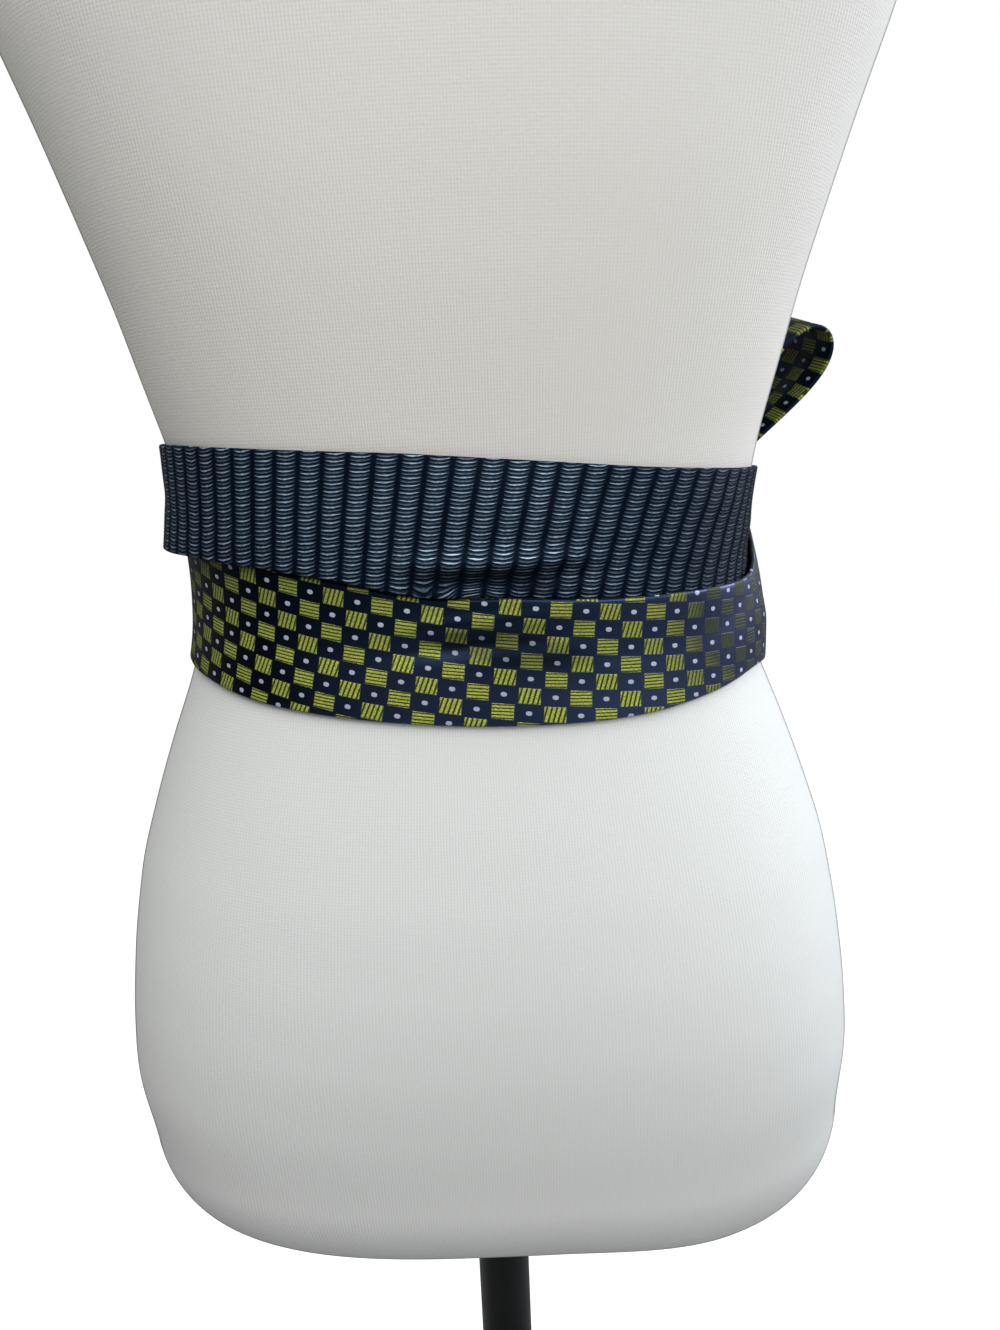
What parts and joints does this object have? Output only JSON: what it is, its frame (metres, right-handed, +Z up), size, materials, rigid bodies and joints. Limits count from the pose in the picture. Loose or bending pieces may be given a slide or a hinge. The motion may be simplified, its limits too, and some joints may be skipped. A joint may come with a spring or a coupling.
{
  "type": "obi sash on a limbless dress form",
  "caption": "Obi sash of two woven tie silks, wound round the waist of an ivory jersey dress form and tied in a bow at the right front, on a black pole stand.",
  "frame": {"origin": "middle of the base's underside, on the floor", "axes": "+Z up, the form's back towards -Y, the wearer's right side towards +X"},
  "size_m": [0.37, 0.37, 1.0763],
  "materials": {
    "ribbed_silk": "ribbed navy silk with columns of grey-blue dashes",
    "check_silk": "navy satin with an olive check and silver dots",
    "form_jersey": "fine ivory jersey, matte",
    "cap_board": "plain off-white plate",
    "stand_black": "satin black paint"
  },
  "bodies": {
    "root": {"ribbed_wrap": "ribbed_silk", "check_wrap": "check_silk", "bow_knot": "check_silk", "check_loop": "check_silk", "ribbed_loop": "ribbed_silk", "check_tail": "check_silk", "ribbed_tail": "ribbed_silk", "form_body": "form_jersey", "form_neck_cap": "cap_board", "pole_collar": "stand_black", "stand_pole": "stand_black", "stand_socket": "stand_black", "stand_base": "stand_black"}
  },
  "joints": []
}
